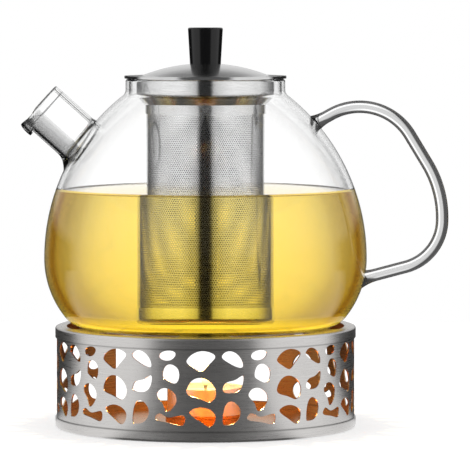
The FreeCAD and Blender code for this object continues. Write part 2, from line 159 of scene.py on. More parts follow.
room = bpy.data.worlds.new("studio_room")
room.use_nodes = True
scene.world = room
tree = room.node_tree
tree.nodes.clear()
toward = add_node(tree, "ShaderNodeTexCoord").outputs["Generated"]
path = add_node(tree, "ShaderNodeLightPath").outputs
height = parts_of(tree, toward)["Z"]
upper = ranged(tree, height, *UPPER_RISE)
overhead = ranged(tree, height, *OVERHEAD_RISE)
outer = mixed(tree, upper, light_round(tree, toward, LOW_LEVELS), light_round(tree, toward, UPPER_LEVELS))
outer = mixed(tree, overhead, outer, light_round(tree, toward, OVERHEAD_LEVELS))
gloss_sees = mixed(tree, path["Is Transmission Ray"], outer, light_round(tree, toward, INNER_LEVELS))
walls = mixed(tree, mirrored_ray(tree, path), ROOM_WHITE, gloss_sees)
shown = mixed(tree, path["Is Camera Ray"], walls, WHITE)
background = add_node(tree, "ShaderNodeBackground", {"Color": shown})
add_node(tree, "ShaderNodeOutputWorld", {"Surface": background.outputs[0]})

table = object_from("table_top", ring(TABLE_RADIUS, -TABLE_DROP, TABLE_SIDES), [list(range(TABLE_SIDES))])
white_table = bpy.data.materials.new("white_table")
white_table.use_nodes = True
tree = white_table.node_tree
tree.nodes.clear()
path = add_node(tree, "ShaderNodeLightPath").outputs
matt = add_node(tree, "ShaderNodeBsdfDiffuse", {"Color": TABLE_WHITE})
direct = math_node(tree, "MAXIMUM", path["Is Camera Ray"], path["Is Transmission Ray"])
fill = add_node(tree, "ShaderNodeEmission", {"Strength": math_node(tree, "MULTIPLY", direct, TABLE_FILL)})
lit = add_node(tree, "ShaderNodeAddShader", {0: matt.outputs[0], 1: fill.outputs[0]})
# Painted reflection: seen in steel and glass, the table emits the studio's light and dark by direction
place = add_node(tree, "ShaderNodeNewGeometry").outputs["Position"]
gloss_sees = mixed(tree, path["Is Transmission Ray"], light_round(tree, place, LOW_LEVELS),
                   light_round(tree, place, INNER_LEVELS))
painted_reflected_light = add_node(tree, "ShaderNodeEmission", {"Color": gloss_sees})
both = add_node(tree, "ShaderNodeMixShader",
                {0: mirrored_ray(tree, path), 1: lit.outputs[0], 2: painted_reflected_light.outputs[0]})
add_node(tree, "ShaderNodeOutputMaterial", {"Surface": both.outputs[0]})
table.data.materials.append(white_table)


# The warmer: a tray, a rolled wall with pebble-shaped vents and a vented cover, pressed from stainless sheet
# and slipped together. All of it is satin brushed round the axis, so the fine lines follow the turn of the
# wall. Inside, it is tinted brown: painted warm light from the flame.
BRUSH_LINES = 2600
BRUSH_ROUND = 5
BRUSH_DETAIL = 3
BRUSH_GRAIN = 0.6
BRUSH_CONTRAST = (0.3, 0.7)
BRUSH_BUMP = 0.25
BRUSH_DEPTH = 0.000004
BRUSH_TURN = 0.25
WARMER_STEEL = ((0.56, 0.545, 0.535, 1), (0.64, 0.625, 0.61, 1))
WARMER_ROUGH = (0.25, 0.33)
WARMER_ANISOTROPY = 0.5
FLAME_LIGHT_TINT = (0.92, 0.47, 0.15, 1)
FLAME_LIGHT_RADIUS = 0.0741
FLAME_LIGHT_TOP = 0.0497
FLAME_LIGHT_BOTTOM = 0.0003
# Heights of the sheet edges, and the darkness and reach of the painted shade along them
SKIRT_EDGES = (0.0048, 0.0448)
PAINTED_EDGE_SHADE = (0.52, 0.52, 0.52, 1)
PAINTED_EDGE_SHADE_REACH = 0.0006


def finish_of(name):
    """A new material with its node tree and shader."""
    made = bpy.data.materials.new(name)
    made.use_nodes = True
    return made, made.node_tree, made.node_tree.nodes["Principled BSDF"]


def object_place(tree):
    """The place on the object."""
    return add_node(tree, "ShaderNodeTexCoord").outputs["Object"]


def level_of(tree, parts):
    """The level vector out from the upright axis."""
    return add_node(tree, "ShaderNodeCombineXYZ", {"X": parts["X"], "Y": parts["Y"]}).outputs[0]


def length_of(tree, vector):
    """How long a vector is."""
    return add_node(tree, "ShaderNodeVectorMath", {0: vector}, operation="LENGTH").outputs["Value"]


def brushed_steel(name, colours, roughness, anisotropy, painted_shade_edges=(), painted_flame_light=False):
    """Steel brushed round the upright axis: fine lines in height and radius, long round the turn. It has
    painted shade in the nook at each sheet edge, and can have the flame's warm light painted brown inside the
    wall."""
    made, tree, shader = finish_of(name)
    parts = parts_of(tree, object_place(tree))
    outward = level_of(tree, parts)
    radius = length_of(tree, outward)
    turn = add_node(tree, "ShaderNodeVectorMath", {0: outward}, operation="NORMALIZE").outputs[0]
    turn = add_node(tree, "ShaderNodeVectorMath", {0: turn, "Scale": BRUSH_ROUND}, operation="SCALE")
    turn = parts_of(tree, turn.outputs[0])
    lines = math_node(tree, "MULTIPLY", math_node(tree, "ADD", parts["Z"], radius), BRUSH_LINES)
    streaks = add_node(tree, "ShaderNodeCombineXYZ", {"X": turn["X"], "Y": turn["Y"], "Z": lines}).outputs[0]
    brush = add_node(tree, "ShaderNodeTexNoise", {
        "Vector": streaks, "Scale": 1, "Detail": BRUSH_DETAIL, "Roughness": BRUSH_GRAIN,
    }).outputs[0]
    tone = ranged(tree, brush, *BRUSH_CONTRAST)
    colour = mixed(tree, tone, *colours)
    # Painted shade: a darker line along each sheet edge, where the skirts step over the wall
    for edge in painted_shade_edges:
        gap = math_node(tree, "ABSOLUTE", math_node(tree, "SUBTRACT", parts["Z"], edge))
        colour = mixed(tree, ranged(tree, gap, PAINTED_EDGE_SHADE_REACH, 0), colour, PAINTED_EDGE_SHADE, "MULTIPLY")
    # Painted light: inside the wall the steel is tinted brown for the flame's warm light on it
    if painted_flame_light:
        inside = math_node(tree, "LESS_THAN", radius, FLAME_LIGHT_RADIUS)
        inside = math_node(tree, "MULTIPLY", inside, math_node(tree, "LESS_THAN", parts["Z"], FLAME_LIGHT_TOP))
        inside = math_node(tree, "MULTIPLY", inside, math_node(tree, "GREATER_THAN", parts["Z"], FLAME_LIGHT_BOTTOM))
        colour = mixed(tree, inside, colour, FLAME_LIGHT_TINT, "MULTIPLY")
    bump = add_node(tree, "ShaderNodeBump",
                    {"Strength": BRUSH_BUMP, "Distance": BRUSH_DEPTH, "Height": brush})
    brushed_way = add_node(tree, "ShaderNodeTangent", direction_type="RADIAL", axis="Z")
    set_inputs(tree, shader, {
        "Base Color": colour, "Roughness": ranged(tree, tone, 0, 1, *roughness),
        "Normal": bump.outputs[0], "Tangent": brushed_way.outputs[0],
        "Metallic": 1, "Anisotropic": anisotropy, "Anisotropic Rotation": BRUSH_TURN,
    })
    return made


def dress(material, *nodes):
    """Gives a material to CAD pieces that keep their own shape."""
    for node in nodes:
        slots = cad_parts[node].data.materials
        slots.clear()
        slots.append(material)


warmer_steel = brushed_steel("warmer_brushed_steel", WARMER_STEEL, WARMER_ROUGH, WARMER_ANISOTROPY,
                             SKIRT_EDGES, painted_flame_light=True)
dress(warmer_steel, "warmer_base_tray", "warmer_wall", "warmer_top_cover", "candle_stand")


# The tealight: paraffin wax in a drawn aluminium cup, with a cotton wick crimped into a steel tab. It burns,
# so the wax is clear near the wick and has a painted warm glow that is warmest there, and the flame lights
# the inside of the warmer.
CUP_ALUMINIUM = ((0.86, 0.84, 0.78, 1), (0.93, 0.91, 0.86, 1))
CUP_ROUGH = (0.3, 0.38)
CUP_ANISOTROPY = 0.3
TAB_ANISOTROPY = 0.2
# Painted glow: the wax emits its own tint, warmer where it melts near the wick, for the flame's light in it
WAX_COLOUR = (0.93, 0.86, 0.70, 1)
WAX_PAINTED_WARM_GLOW = (1.0, 0.62, 0.22, 1)
WAX_MELT_GLOW_RADII = (0.016, 0.002)
WAX_CLOUD = 180
WAX_CLOUD_DETAIL = 3
WAX_CLOUD_LEVEL = 0.5
WAX_PAINTED_GLOW = 0.35
WAX_ROUGH = 0.25
WAX_SCATTER = 0.4
WAX_SCATTER_REACH = (0.006, 0.003, 0.0015)
WICK_COTTON = (0.8, 0.7, 0.5, 1)
WICK_CHAR = (0.02, 0.015, 0.012, 1)
WICK_CHAR_HEIGHTS = (0.018, 0.02)
WICK_PLAIT = 500
WICK_PLAIT_WAVE = 4
WICK_BUMP = 0.6
WICK_PLAIT_DEPTH = 0.0002
WICK_ROUGH = 0.9
FLAME_BOTTOM = 19.5
FLAME_PROFILE = ((0.0, 0), (0.9, 0.5), (1.7, 1.6), (2.3, 3.2), (2.5, 5.0), (2.3, 7.2), (1.8, 9.6),
                 (1.2, 12.0), (0.6, 14.2), (0.0, 16.0))
FLAME_SIDES = 24
FLAME_COLOUR = (1.0, 0.62, 0.2, 1)
FLAME_FULL_HEIGHT = 7
FLAME_STRENGTHS = (0.3, 9)
CANDLE_LIGHT = (1.0, 0.62, 0.24)
CANDLE_POWER = 0.4
CANDLE_LIGHT_HEIGHT = 0.044
CANDLE_LIGHT_SIZE = 0.004
CANDLE_SPREAD = math.radians(172)
CANDLE_SOFT_EDGE = 0.2


def strips(rings, sides, first=0):
    """The faces between rings of points, each joined to the next."""
    faces = []
    for low in range(first, first + (rings - 1) * sides, sides):
        high = low + sides
        for side in range(sides):
            following = (side + 1) % sides
            faces.append((low + side, low + following, high + following, high + side))
    return faces


def lathe(name, profile, sides):
    """A closed body of revolution from (radius, height) points; the first and last lie on the axis."""
    rings = profile[1:-1]
    vertices = [(0, 0, profile[0][1])]
    for radius, height in rings:
        vertices += ring(radius, height, sides)
    last = len(vertices)
    vertices.append((0, 0, profile[-1][1]))
    top = last - sides
    faces = strips(len(rings), sides, first=1)
    for side in range(sides):
        following = (side + 1) % sides
        faces.append((0, 1 + following, 1 + side))
        faces.append((top + side, top + following, last))
    return object_from(name, vertices, faces)


dress(brushed_steel("cup_aluminium", CUP_ALUMINIUM, CUP_ROUGH, CUP_ANISOTROPY), "tealight_cup")
dress(brushed_steel("tab_steel", WARMER_STEEL, CUP_ROUGH, TAB_ANISOTROPY), "wick_tab")

painted_glow_wax, tree, shader = finish_of("painted_glow_wax")
place = object_place(tree)
radius = length_of(tree, level_of(tree, parts_of(tree, place)))
cloud = add_node(tree, "ShaderNodeTexNoise",
                 {"Vector": place, "Scale": WAX_CLOUD, "Detail": WAX_CLOUD_DETAIL})
cloud = math_node(tree, "ADD", cloud.outputs[0], WAX_CLOUD_LEVEL)
melt_pool_glow = math_node(tree, "MULTIPLY", ranged(tree, radius, *WAX_MELT_GLOW_RADII), cloud)
tint = mixed(tree, melt_pool_glow, WAX_COLOUR, WAX_PAINTED_WARM_GLOW)
# Painted light: the wax's tint is also its emission
set_inputs(tree, shader, {
    "Base Color": tint, "Emission Color": tint, "Emission Strength": WAX_PAINTED_GLOW, "Roughness": WAX_ROUGH,
    "Subsurface Weight": WAX_SCATTER, "Subsurface Radius": WAX_SCATTER_REACH, "Subsurface Scale": 1,
})
dress(painted_glow_wax, "tealight_wax")

charred_wick, tree, shader = finish_of("charred_wick")
place = object_place(tree)
burnt = ranged(tree, parts_of(tree, place)["Z"], *WICK_CHAR_HEIGHTS)
plait = add_node(tree, "ShaderNodeTexWave",
                 {"Vector": place, "Scale": WICK_PLAIT, "Distortion": WICK_PLAIT_WAVE},
                 bands_direction="DIAGONAL")
bump = add_node(tree, "ShaderNodeBump",
                {"Strength": WICK_BUMP, "Distance": WICK_PLAIT_DEPTH, "Height": plait.outputs["Fac"]})
set_inputs(tree, shader, {
    "Base Color": mixed(tree, burnt, WICK_COTTON, WICK_CHAR),
    "Normal": bump.outputs[0], "Roughness": WICK_ROUGH,
})
dress(charred_wick, "tealight_wick")

flame_profile = [(radius, FLAME_BOTTOM + height) for radius, height in FLAME_PROFILE]
flame = lathe("candle_flame", flame_profile, FLAME_SIDES)
flame_glow, tree, shader = finish_of("flame_glow")
tree.nodes.remove(shader)
height = parts_of(tree, object_place(tree))["Z"]
strength = ranged(tree, height, FLAME_BOTTOM * MM, (FLAME_BOTTOM + FLAME_FULL_HEIGHT) * MM, *FLAME_STRENGTHS)
burning = add_node(tree, "ShaderNodeEmission", {"Color": FLAME_COLOUR, "Strength": strength})
set_inputs(tree, tree.nodes["Material Output"], {"Surface": burning.outputs[0]})
flame.data.materials.append(flame_glow)
flame.visible_shadow = False
flame.visible_glossy = False
flame.visible_transmission = False
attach(flame, "tealight")

candle_data = bpy.data.lights.new("candle_light", "SPOT")
candle_data.spot_size = CANDLE_SPREAD
candle_data.spot_blend = CANDLE_SOFT_EDGE
candle_data.color = CANDLE_LIGHT
candle_data.energy = CANDLE_POWER
candle_data.shadow_soft_size = CANDLE_LIGHT_SIZE
candle_light = bpy.data.objects.new("candle_light", candle_data)
candle_light.location = (0, 0, CANDLE_LIGHT_HEIGHT)
scene.collection.objects.link(candle_light)
unlit = bpy.data.collections.new("not_lit_by_the_flame")
unlit.objects.link(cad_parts["tealight_wax"])
unlit.collection_objects[0].light_linking.link_state = "EXCLUDE"
candle_light.light_linking.receiver_collection = unlit
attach(candle_light, "tealight")


# The pot: blown borosilicate glass. The spout tube and the solid handle rod are welded on while hot, so bowl,
# spout and handle are one piece of glass with soft feet at the welds. Its lip is fire polished, and the
# pouring lip is curled under.
POT_BASE = 50.2
BELLY_RADIUS = 80.6
BELLY_HEIGHT = 84.0
LIP_HEIGHT = 173.5
NECK_RADIUS = 39.8
SHOULDER_ARC = 103.5
NECK_ARC = 3.5
LOWER_ARC = 46.5
HEEL_ARC = 10.8
GLASS_WALL = 2.4
KICK_RADIUS = 40.0
KICK_RISE = 1.2
GLASS_SIDES = 192
ARC_STEP = 1.5
SHARP_ANGLE = math.radians(40)
# The cut that opens the mouth inside the lip: where it leaves the lip's round in degrees, its radius and top
MOUTH_CUT_TURN = 105
MOUTH_CUT_RADIUS = 38.3
MOUTH_CUT_TOP = 180

SPOUT_SEAT = Vector((-62.40, 0, 142.62))
SPOUT_SLOPE = math.radians(42)
SPOUT_LENGTH = 27.5
SPOUT_RADIUS = 12.3
SPOUT_WALL = 1.8
SPOUT_BORE = SPOUT_RADIUS - SPOUT_WALL
SPOUT_FOOT_LENGTH = 4.0
SPOUT_FOOT_CURVE = 0.075
SPOUT_FOOT_RINGS = 28
SPOUT_SIDES = 128
# The bore's flared root through the pot's wall, as (radius, distance from the seat)
BORE_ROOT = ((0, -15), (13.5, -15), (11.5, -2.4), (10.75, 0.5), (10.2, 3.5), (0, 3.5))
# The mouth's edge from the outer face over the lip into the bore, as (distance from the mouth, radius):
# rounded at the top and sides, and curled under at the bottom
LIP_LENGTH = 7.5
ROUND_LIP = (
    (-LIP_LENGTH, SPOUT_RADIUS), (-4.6, SPOUT_RADIUS), (-2.4, SPOUT_RADIUS), (-1.0, SPOUT_RADIUS),
    (-0.45, 12.2), (-0.2, 12.05), (-0.06, 11.8), (-0.02, 11.6), (0, SPOUT_RADIUS - SPOUT_WALL / 2),
    (-0.1, 11.0), (-0.4, 10.65), (-1.0, SPOUT_BORE), (-3.5, SPOUT_BORE), (-5.0, SPOUT_BORE),
    (-6.5, SPOUT_BORE),
)
CURLED_LIP = (
    (-LIP_LENGTH, SPOUT_RADIUS), (-4.6, 12.35), (-2.9, 12.5), (-1.9, 12.9), (-1.75, 13.25), (-2.3, 13.5),
    (-4.2, 13.75), (-6.6, 13.95), (-7.2, 14.35), (-6.6, 14.8), (-3.0, 14.75), (-0.5, 14.1), (-0.05, 13.2),
    (-2.0, 11.6), (-6.5, SPOUT_BORE),
)
LIP_STEPS = 5
CURL_SPREAD = math.radians(80)

ROD_RADIUS = 3.15
ROD_FOOT_FLARE = 1.7
ROD_FOOT_LENGTH = 8.4
ROD_SIDES = 40
ROD_STEP = 1.0
HANDLE_CORNERS = ((53.17, 150.59), (87.4, 169.7), (118.3, 118.7), (118.3, 84.4), (76.91, 73.41))
HANDLE_BENDS = (29.3, 52.2, 24.3)

GLASS_INDEX = 1.47
GLASS_TINT = (0.80, 0.83, 0.82, 1)
GLASS_DENSITY = 16
# Painted shade on the glass: how much light comes through, by how steeply the surface is seen: 0 straight on,
# 1 edge on. It stands for dark parts of the room that the glass bends into view; the spout's lower side and
# the handle's outer side get a broader painted edge.
BOWL_PAINTED_EDGE = ((0.74, 1.0), (0.79, 0.82), (0.9, 0.74), (0.97, 0.42))
SPOUT_PAINTED_EDGE = ((0.58, 1.0), (0.62, 0.4), (0.66, 0.4), (0.7, 1.0), (0.9, 0.9), (0.96, 0.35))
SPOUT_PAINTED_DARK_EDGE = ((0.0, 0.85), (0.02, 0.72), (0.05, 0.55), (0.13, 0.38), (0.28, 0.28), (0.4, 0.25),
                   (0.45, 0.05), (0.58, 0.05), (0.68, 0.35), (0.9, 0.5))
SPOUT_DARK_WAY = (-0.669, 0, -0.743)
SPOUT_DARK_START = (0.08, 0.14)
ROD_PAINTED_EDGE = ((0.04, 0.6), (0.07, 1.0), (0.15, 1.0), (0.2, 0.12), (0.72, 0.06), (0.85, 0.5))
ROD_PAINTED_DARK_EDGE = ((0.01, 0.6), (0.022, 0.45), (0.042, 0.07), (0.2, 0.035), (0.5, 0.05), (0.8, 0.15),
                 (0.95, 0.4))
ROD_DARK_WAY = (0.985, 0, -0.17)
ROD_DARK_START = (0.02, 0.24)
# Along the spout, from 0 at its seat to 1 at its mouth: painted dark lines round it, and where its lip is
# clear again
SPOUT_PAINTED_LINES = ((0.82, 1.0), (0.835, 0.5), (0.85, 1.0), (0.955, 1.0), (0.975, 0.35))
SPOUT_LIP_START = (0.92, 0.95)
SPOUT_LIP_CLEAR = 0.8


def arc_points(centre, radius, start, end):
    """Points (radius, height) along an arc, in degrees."""
    count = max(2, math.ceil(abs(end - start) / ARC_STEP))
    angles = [math.radians(start + (end - start) * index / count) for index in range(count + 1)]
    return [(centre[0] + radius * math.cos(angle), centre[1] + radius * math.sin(angle)) for angle in angles]


def bowl_side(depth):
    """The pot's side from its heel to its neck, at a depth below the outer face."""
    lower = (BELLY_RADIUS - LOWER_ARC, BELLY_HEIGHT)
    shoulder = (BELLY_RADIUS - SHOULDER_ARC, BELLY_HEIGHT)
    reach = LOWER_ARC - HEEL_ARC
    heel_turn = math.degrees(math.asin((BELLY_HEIGHT - POT_BASE - HEEL_ARC) / reach))
    heel = (lower[0] + reach * math.cos(math.radians(heel_turn)), POT_BASE + HEEL_ARC)
    span = SHOULDER_ARC + NECK_ARC
    neck_turn = math.degrees(math.acos((NECK_RADIUS + NECK_ARC - shoulder[0]) / span))
    neck = (NECK_RADIUS + NECK_ARC, BELLY_HEIGHT + span * math.sin(math.radians(neck_turn)))
    return (
        arc_points(heel, HEEL_ARC - depth, -90, -heel_turn)
        + arc_points(lower, LOWER_ARC - depth, -heel_turn, 0)[1:]
        + arc_points(shoulder, SHOULDER_ARC - depth, 0, neck_turn)[1:]
        + arc_points(neck, NECK_ARC + depth, 180 + neck_turn, 180)[1:]
    )


def kick(depth):
    """The shallow rise under the middle of the pot, from the axis outwards."""
    bend = (KICK_RADIUS ** 2 + KICK_RISE ** 2) / (2 * KICK_RISE)
    centre = (0, POT_BASE + KICK_RISE - bend)
    bend += depth
    reach = math.degrees(math.acos((bend - KICK_RISE) / bend))
    return [(0, centre[1] + bend)] + arc_points(centre, bend, 90, 90 - reach)[1:]


def spout_point(along, radius, angle):
    """A point on the spout from its seat: along its axis, out from it, and round it from the lower side."""
    outward = Vector((-math.cos(SPOUT_SLOPE), 0, math.sin(SPOUT_SLOPE)))
    down = Vector((-outward.z, 0, outward.x))
    side = outward.cross(down)
    return SPOUT_SEAT + outward * along + (down * math.cos(angle) + side * math.sin(angle)) * radius


def spout_foot(along):
    """How far the tube spreads towards its weld."""
    below = min(0, along - SPOUT_FOOT_LENGTH)
    return SPOUT_FOOT_CURVE * below ** 2


def ring_mesh(name, loops):
    """A closed mesh of loops of points, each joined to the next and the last to the first."""
    size = len(loops[0])
    faces = []
    for row in range(len(loops)):
        here = row * size
        ahead = (row + 1) % len(loops) * size
        for column in range(size):
            following = (column + 1) % size
            faces.append((here + column, ahead + column, ahead + following, here + following))
    return object_from(name, [point for loop in loops for point in loop], faces)


def smooth_curve(points, count):
    """Points along a smooth line through the given ones."""
    curve = []
    for index in range(len(points) - 1):
        near = [Vector(points[max(0, min(len(points) - 1, index + offset))]) for offset in (-1, 0, 1, 2)]
        for step in range(count):
            t = step / count
            curve.append(
                near[1]
                + (near[2] - near[0]) * (t / 2)
                + (near[0] * 2 - near[1] * 5 + near[2] * 4 - near[3]) * (t * t / 2)
                + (near[1] * 3 - near[0] - near[2] * 3 + near[3]) * (t ** 3 / 2)
            )
    curve.append(Vector(points[-1]))
    return curve


def spout_tube():
    """The tube wall, from its foot round the mouth and back down the bore, with the lip curled below."""
    foot = [SPOUT_LENGTH - LIP_LENGTH - index for index in range(1, SPOUT_FOOT_RINGS + 1)]
    loops = []
    for side in range(SPOUT_SIDES):
        angle = side * math.tau / SPOUT_SIDES
        off = min(angle, math.tau - angle)
        weight = max(0, math.cos(off / CURL_SPREAD * math.pi / 2)) if off < CURL_SPREAD else 0
        weight = weight * weight * (3 - 2 * weight)
        rim = [Vector(flat).lerp(Vector(bent), weight) for flat, bent in zip(ROUND_LIP, CURLED_LIP)]
        rim = smooth_curve(rim, LIP_STEPS)
        loop = [spout_point(along, SPOUT_RADIUS + spout_foot(along), angle) for along in reversed(foot)]
        loop += [spout_point(SPOUT_LENGTH + point.x, point.y, angle) for point in rim]
        loop += [spout_point(along, SPOUT_BORE, angle) for along in foot]
        loops.append(loop)
    return ring_mesh("spout_tube", loops)


def straight_run(start, end):
    """Points on a straight stretch of the rod, past its start and short of its end."""
    run = end - start
    count = math.ceil(run.length / ROD_STEP)
    return [start + run * (step / count) for step in range(1, count)]


def rod_line():
    """Points of the bent rod's middle line, from the upper weld to the lower one."""
    corners = [Vector(corner) for corner in HANDLE_CORNERS]
    line = [corners[0]]
    for before, corner, after, bend in zip(corners, corners[1:], corners[2:], HANDLE_BENDS):
        back = (before - corner).normalized()
        ahead = (after - corner).normalized()
        half = back.angle(ahead) / 2
        centre = corner + (back + ahead).normalized() * (bend / math.sin(half))
        first = corner + back * (bend / math.tan(half)) - centre
        sweep = math.pi - 2 * half
        count = math.ceil(sweep * bend / ROD_STEP)
        way = -1 if first.x * ahead.y - first.y * ahead.x < 0 else 1
        line += straight_run(line[-1], centre + first)
        for step in range(count + 1):
            angle = way * sweep * step / count
            cosine, sine = math.cos(angle), math.sin(angle)
            turned = Vector((first.x * cosine - first.y * sine, first.x * sine + first.y * cosine))
            line.append(centre + turned)
    return line + straight_run(line[-1], corners[-1]) + [corners[-1]]


def handle_rod():
    """The handle as a solid rod that spreads at both welds."""
    line = rod_line()
    lengths = [0]
    for before, after in zip(line, line[1:]):
        lengths.append(lengths[-1] + (after - before).length)
    vertices = []
    for index, point in enumerate(line):
        ahead = (line[min(index + 1, len(line) - 1)] - line[max(index - 1, 0)]).normalized()
        from_end = min(lengths[index], lengths[-1] - lengths[index])
        radius = ROD_RADIUS + ROD_FOOT_FLARE * max(0, 1 - from_end / ROD_FOOT_LENGTH) ** 2
        for side in range(ROD_SIDES):
            angle = side * math.tau / ROD_SIDES
            out = radius * math.cos(angle)
            vertices.append((point.x - ahead.y * out, radius * math.sin(angle), point.y + ahead.x * out))
    faces = strips(len(line), ROD_SIDES)
    faces.append(tuple(reversed(range(ROD_SIDES))))
    faces.append(tuple(range(len(vertices) - ROD_SIDES, len(vertices))))
    return object_from("handle_rod", vertices, faces)


def outward_faces(made):
    """Points a closed mesh's faces outwards."""
    work = bmesh.new()
    work.from_mesh(made.data)
    bmesh.ops.recalc_face_normals(work, faces=work.faces)
    work.to_mesh(made.data)
    work.free()
    return made


def plain_mesh(made):
    """Gives an object the mesh that its modifiers make, and removes them."""
    mesh = bpy.data.meshes.new_from_object(made.evaluated_get(bpy.context.evaluated_depsgraph_get()))
    made.modifiers.clear()
    made.data = mesh


def joined(target, operation, tool):
    """Adds the tool's solid to the target, or cuts it away, and removes the tool."""
    modifier = target.modifiers.new(operation, "BOOLEAN")
    modifier.operation = operation
    modifier.solver = "EXACT"
    modifier.material_mode = "TRANSFER"
    modifier.object = tool
    plain_mesh(target)
    bpy.data.objects.remove(tool)


def dot(tree, first, second):
    """How far one vector reaches along another."""
    product = add_node(tree, "ShaderNodeVectorMath", {0: first, 1: second}, operation="DOT_PRODUCT")
    return product.outputs["Value"]


def dimmed(tree, value, edge):
    """The tint that lets through these shares of light; it counts by its square root where light enters."""
    return ramp_of(tree, value, [(place, (share ** 2, share ** 2, share ** 2, 1)) for place, share in edge])


def see_through(name, index, colour, density):
    """A clear material coloured by depth, with its node tree, its shader and how steeply its face is seen."""
    made, tree, shader = finish_of(name)
    set_inputs(tree, shader, {"Transmission Weight": 1, "Roughness": 0, "IOR": index})
    body = add_node(tree, "ShaderNodeVolumeAbsorption", {"Color": colour, "Density": density})
    set_inputs(tree, tree.nodes["Material Output"], {"Volume": body.outputs[0]})
    return made, tree, shader, add_node(tree, "ShaderNodeLayerWeight", {"Blend": 0.5}).outputs["Facing"]


def clear_glass(name, edge, painted_dark_edge=None, dark_way=None, dark_start=None, dark_past=None):
    """Clear glass with painted shade towards its outline where light enters, broader on its dark side.
    The painted dark side can start at a point, so that the far side of a bore stays clear."""
    made, tree, shader, facing = see_through(name, GLASS_INDEX, GLASS_TINT, GLASS_DENSITY)
    surface = add_node(tree, "ShaderNodeNewGeometry").outputs
    # Painted shade: the glass lets less light through towards its outline
    tint = dimmed(tree, facing, edge)
    if painted_dark_edge:
        share = ranged(tree, dot(tree, surface["Normal"], dark_way), *dark_start)
        if dark_past:
            reach = dot(tree, object_place(tree), dark_way)
            past = math_node(tree, "GREATER_THAN", reach, dark_past.dot(Vector(dark_way)) * MM)
            share = math_node(tree, "MULTIPLY", share, past)
        tint = mixed(tree, share, tint, dimmed(tree, facing, painted_dark_edge))
    set_inputs(tree, shader, {"Base Color": mixed(tree, surface["Backfacing"], tint, WHITE)})
    return made


lip = GLASS_WALL / 2
lip_centre = (NECK_RADIUS - lip, LIP_HEIGHT - lip)
outer_profile = kick(0) + bowl_side(0) + arc_points(lip_centre, lip, 0, 90) + [(0, LIP_HEIGHT)]
inner_profile = (
    kick(GLASS_WALL) + bowl_side(GLASS_WALL) + arc_points(lip_centre, lip, 180, MOUTH_CUT_TURN)
    + [(MOUTH_CUT_RADIUS, MOUTH_CUT_TOP), (0, MOUTH_CUT_TOP)]
)

pot_glass = outward_faces(lathe("pot_glass", outer_profile, GLASS_SIDES))
rod = outward_faces(handle_rod())
tube = outward_faces(spout_tube())
pot_inside = outward_faces(lathe("pot_inside", inner_profile, GLASS_SIDES))
bore_cutter = lathe("bore_cutter", BORE_ROOT, SPOUT_SIDES)
for vertex in bore_cutter.data.vertices:
    x, y, along = vertex.co / MM
    vertex.co = spout_point(along, math.hypot(x, y), math.atan2(y, x)) * MM
outward_faces(bore_cutter)

bowl_glass = clear_glass("bowl_glass", BOWL_PAINTED_EDGE)
rod_glass = clear_glass("rod_glass", ROD_PAINTED_EDGE, ROD_PAINTED_DARK_EDGE, ROD_DARK_WAY, ROD_DARK_START)
spout_glass = clear_glass("spout_glass", SPOUT_PAINTED_EDGE, SPOUT_PAINTED_DARK_EDGE, SPOUT_DARK_WAY, SPOUT_DARK_START,
                          SPOUT_SEAT)
tree = spout_glass.node_tree
shader = tree.nodes["Principled BSDF"]
mouth_way = spout_point(1, 0, 0) - SPOUT_SEAT
seat_along = SPOUT_SEAT.dot(mouth_way)
along = dot(tree, object_place(tree), mouth_way)
along = ranged(tree, along, seat_along * MM, (seat_along + SPOUT_LENGTH) * MM)
at_lip = ranged(tree, along, *SPOUT_LIP_START, high=SPOUT_LIP_CLEAR)
# Painted shade: dark lines round the spout, and its lip clear of the painted edge
clear = mixed(tree, at_lip, shader.inputs["Base Color"].links[0].from_socket, WHITE)
painted_lines = mixed(tree, 1, clear, dimmed(tree, along, SPOUT_PAINTED_LINES), "MULTIPLY")
set_inputs(tree, shader, {"Base Color": painted_lines})
for form, finish in ((pot_glass, bowl_glass), (pot_inside, bowl_glass), (rod, rod_glass), (tube, spout_glass),
                     (bore_cutter, spout_glass)):
    form.data.materials.append(finish)
joined(pot_glass, "UNION", rod)
joined(pot_glass, "UNION", tube)
joined(pot_glass, "DIFFERENCE", pot_inside)
joined(pot_glass, "DIFFERENCE", bore_cutter)
pot_glass.data.polygons.foreach_set("use_smooth", [True] * len(pot_glass.data.polygons))
pot_glass.data.set_sharp_from_angle(angle=SHARP_ANGLE)
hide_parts("pot_bowl", "pot_shoulder", "pot_spout", "pot_handle")
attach(pot_glass, "pot")


# The tea: a pale golden infusion that fills the pot to below the spout. It wets the glass, so it meets the
# wall with no gap and climbs a little at its edge. Its heel has a painted glow for the flame's light from
# below.
TEA_LEVEL = 118.3
TEA_WETTING = 0.3
TEA_CLIMB = 0.5
TEA_CLIMB_WIDTH = 2.0
TEA_CLIMB_STEPS = 8
TEA_SIDE_GAP = 0.2
TEA_INDEX = 1.155
TEA_COLOUR = (0.985, 0.87, 0.18, 1)
TEA_DENSITY = 19
# Painted shade at the tea's outline: the tint it lets through, by how steeply it is seen
TEA_PAINTED_EDGE = (
    (0.04, (1, 1, 1)), (0.063, (0.97, 0.96, 0.93)), (0.112, (0.85, 0.83, 0.75)), (0.172, (0.56, 0.51, 0.38)),
    (0.212, (0.45, 0.38, 0.25)), (0.234, (0.46, 0.36, 0.15)), (0.249, (0.33, 0.19, 0.02)),
    (0.261, (0.42, 0.28, 0.08)), (0.271, (0.62, 0.52, 0.42)), (0.286, (0.75, 0.72, 0.7)),
    (0.5, (1, 0.95, 0.88)),
)
# Painted shading by height: the tea is deeper gold lower down and paler towards its top
TEA_PAINTED_DEEP = (0.95, 0.8, 0.13, 1)
TEA_PAINTED_PALE_HEIGHTS = (0.062, 0.108)
